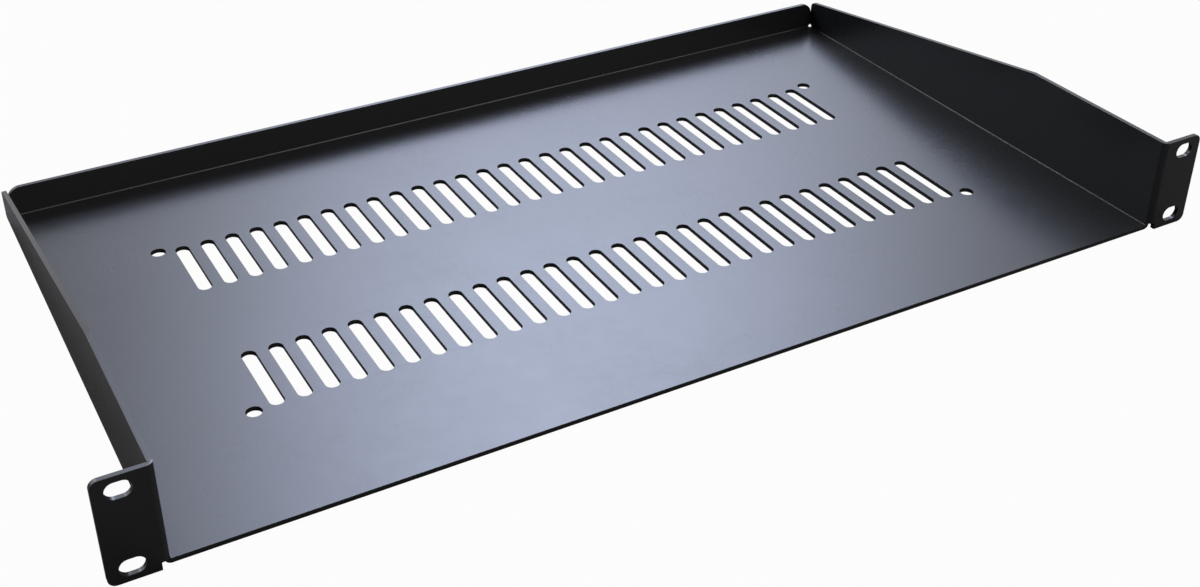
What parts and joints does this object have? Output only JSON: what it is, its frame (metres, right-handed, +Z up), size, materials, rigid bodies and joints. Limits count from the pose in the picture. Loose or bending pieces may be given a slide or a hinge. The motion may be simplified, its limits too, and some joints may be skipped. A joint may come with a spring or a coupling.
{
  "type": "vented rack shelf",
  "caption": "Shallow vented shelf for an equipment rack, folded from black steel sheet, with rows of long vent slots, sloped side walls, a back lip and slotted ears.",
  "frame": {"origin": "centre of the four ear slots, on the back faces of the ears that meet the rack", "axes": "+X to the right seen from the front, +Y back into the rack, +Z up out of the tray"},
  "size_m": [0.4826, 0.256, 0.0434],
  "materials": {
    "powder_coat": "satin near-black powder coat on steel sheet"
  },
  "bodies": {
    "root": {"vented_shelf": "powder_coat"}
  },
  "joints": []
}
